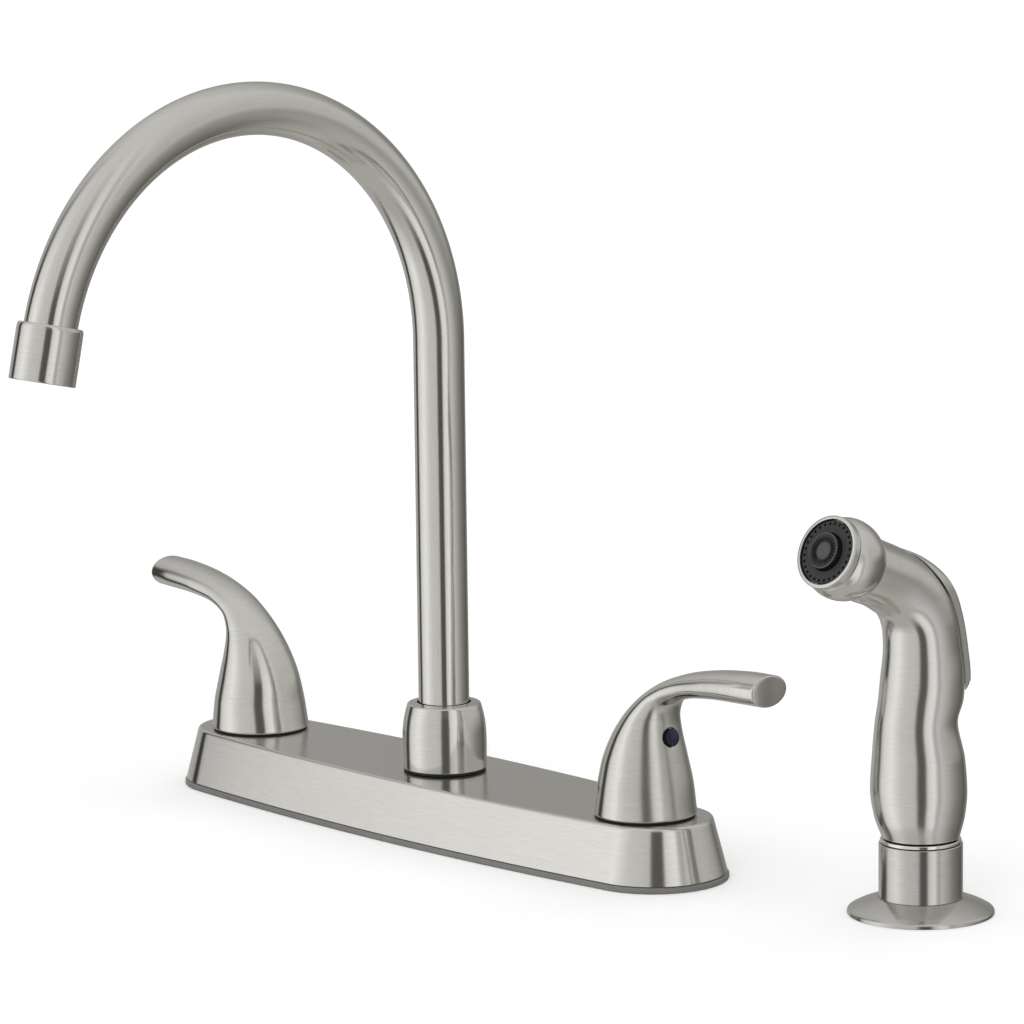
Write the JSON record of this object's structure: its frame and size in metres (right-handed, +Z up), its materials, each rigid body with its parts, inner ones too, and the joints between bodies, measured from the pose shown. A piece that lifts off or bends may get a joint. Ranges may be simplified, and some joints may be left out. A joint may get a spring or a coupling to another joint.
{
  "type": "side spray kitchen faucet",
  "caption": "Gooseneck kitchen faucet on an oblong deck plate, with hot and cold lever handles, a swivel spout, and a pull-off side spray with a rear trigger in its own deck holder.",
  "frame": {"origin": "centre of the deck plate's gasket face, on the sink deck's top surface, on the axis that the spout swivels about", "axes": "+Z up, along the spout's swivel axis; -Y to the front, where the user stands and the spout points; +X to the user's right, the cold side and the side spray"},
  "size_m": [0.3882, 0.2357, 0.32],
  "materials": {
    "brushed_nickel": "fine brushed nickel plate, slightly warm",
    "bright_nickel": "bright nickel plate",
    "brass": "machined brass",
    "steel": "plain stainless steel",
    "grey_rubber": "matt grey moulded rubber",
    "black_rubber": "matt black rubber",
    "black_plastic": "satin black moulded plastic",
    "white_plastic": "white moulded plastic",
    "ceramic": "polished alumina ceramic",
    "blue_plug": "glossy dark blue plastic",
    "red_plug": "glossy red plastic"
  },
  "bodies": {
    "base": {"deck_plate": "brushed_nickel", "deck_gasket": "grey_rubber", "valve_casting": "brass", "cartridge_seal_hot": "black_rubber", "fixed_disc_hot": "ceramic", "cartridge_hot": "brass", "bonnet_nut_hot": "brass", "glide_ring_hot": "black_rubber", "supply_shank_hot": "brass", "shank_washer_hot": "steel", "shank_nut_hot": "brass", "cartridge_seal_cold": "black_rubber", "fixed_disc_cold": "ceramic", "cartridge_cold": "brass", "bonnet_nut_cold": "brass", "glide_ring_cold": "black_rubber", "supply_shank_cold": "brass", "shank_washer_cold": "steel", "shank_nut_cold": "brass", "spout_glide_ring": "black_rubber", "spout_nut": "brushed_nickel", "spray_outlet": "brass", "holder_flange": "brushed_nickel", "holder_gasket": "black_rubber", "holder_sleeve": "brushed_nickel", "holder_bush": "bright_nickel", "holder_nut": "white_plastic"},
    "hot_handle": {"moving_disc_hot": "ceramic", "stem_hot": "brass", "handle_hot": "brushed_nickel", "set_screw_hot": "steel", "index_plug_hot": "red_plug"},
    "cold_handle": {"moving_disc_cold": "ceramic", "stem_cold": "brass", "handle_cold": "brushed_nickel", "set_screw_cold": "steel", "index_plug_cold": "blue_plug"},
    "spout": {"spout_tube": "brushed_nickel", "spout_hub": "brass", "spout_o_ring_lower": "black_rubber", "spout_o_ring_upper": "black_rubber", "aerator_housing": "bright_nickel", "aerator_washer": "black_rubber", "aerator_insert": "white_plastic"},
    "diverter": {"diverter_plunger": "black_plastic"},
    "hose_tail": {"hose_connector": "brass"},
    "handset": {"handset_body": "brushed_nickel", "head_shell": "brushed_nickel", "head_bezel": "bright_nickel", "spray_ring": "black_rubber", "spray_centre": "black_plastic", "trigger_pin": "steel", "trigger_spring": "steel"},
    "trigger": {"trigger": "brushed_nickel"},
    "plunger": {"valve_plunger": "steel"}
  },
  "joints": [
    {"name": "spout_swivel", "type": "hinge", "parent": "base", "child": "spout", "pos_m": [0, 0, 0.03], "axis": [0, 0, 1], "continuous": true},
    {"name": "hot_handle_turn", "type": "hinge", "parent": "base", "child": "hot_handle", "pos_m": [-0.1016, 0, 0.03], "axis": [0, 0, 1], "range_deg": [0, 90]},
    {"name": "cold_handle_turn", "type": "hinge", "parent": "base", "child": "cold_handle", "pos_m": [0.1016, 0, 0.03], "axis": [0, 0, 1], "range_deg": [-90, 0]},
    {"name": "diverter_lift", "type": "slide", "parent": "base", "child": "diverter", "axis": [0, 0, 1], "range_m": [0, 0.0025]},
    {"name": "handset_lift", "type": "slide", "parent": "base", "child": "hose_tail", "axis": [0, 0, 1], "range_m": [0, 0.15]},
    {"name": "handset_turn", "type": "hinge", "parent": "hose_tail", "child": "handset", "pos_m": [0.203, 0.0273, 0.025], "axis": [0, 0, 1], "continuous": true},
    {"name": "trigger_press", "type": "hinge", "parent": "handset", "child": "trigger", "pos_m": [0.203, 0.0229, 0.1109], "axis": [-1, 0, 0], "range_deg": [0, 4.5], "stiffness_Nm_per_rad": 2, "springref_deg": -5.73, "deforming": ["trigger_spring"]},
    {"name": "plunger_slide", "type": "slide", "parent": "handset", "child": "plunger", "axis": [0, -1, 0], "range_m": [0, 0.0016]}
  ],
  "couplings": [
    {"joint": "plunger_slide", "follows": "trigger_press", "m_per_rad": 0.0189}
  ]
}
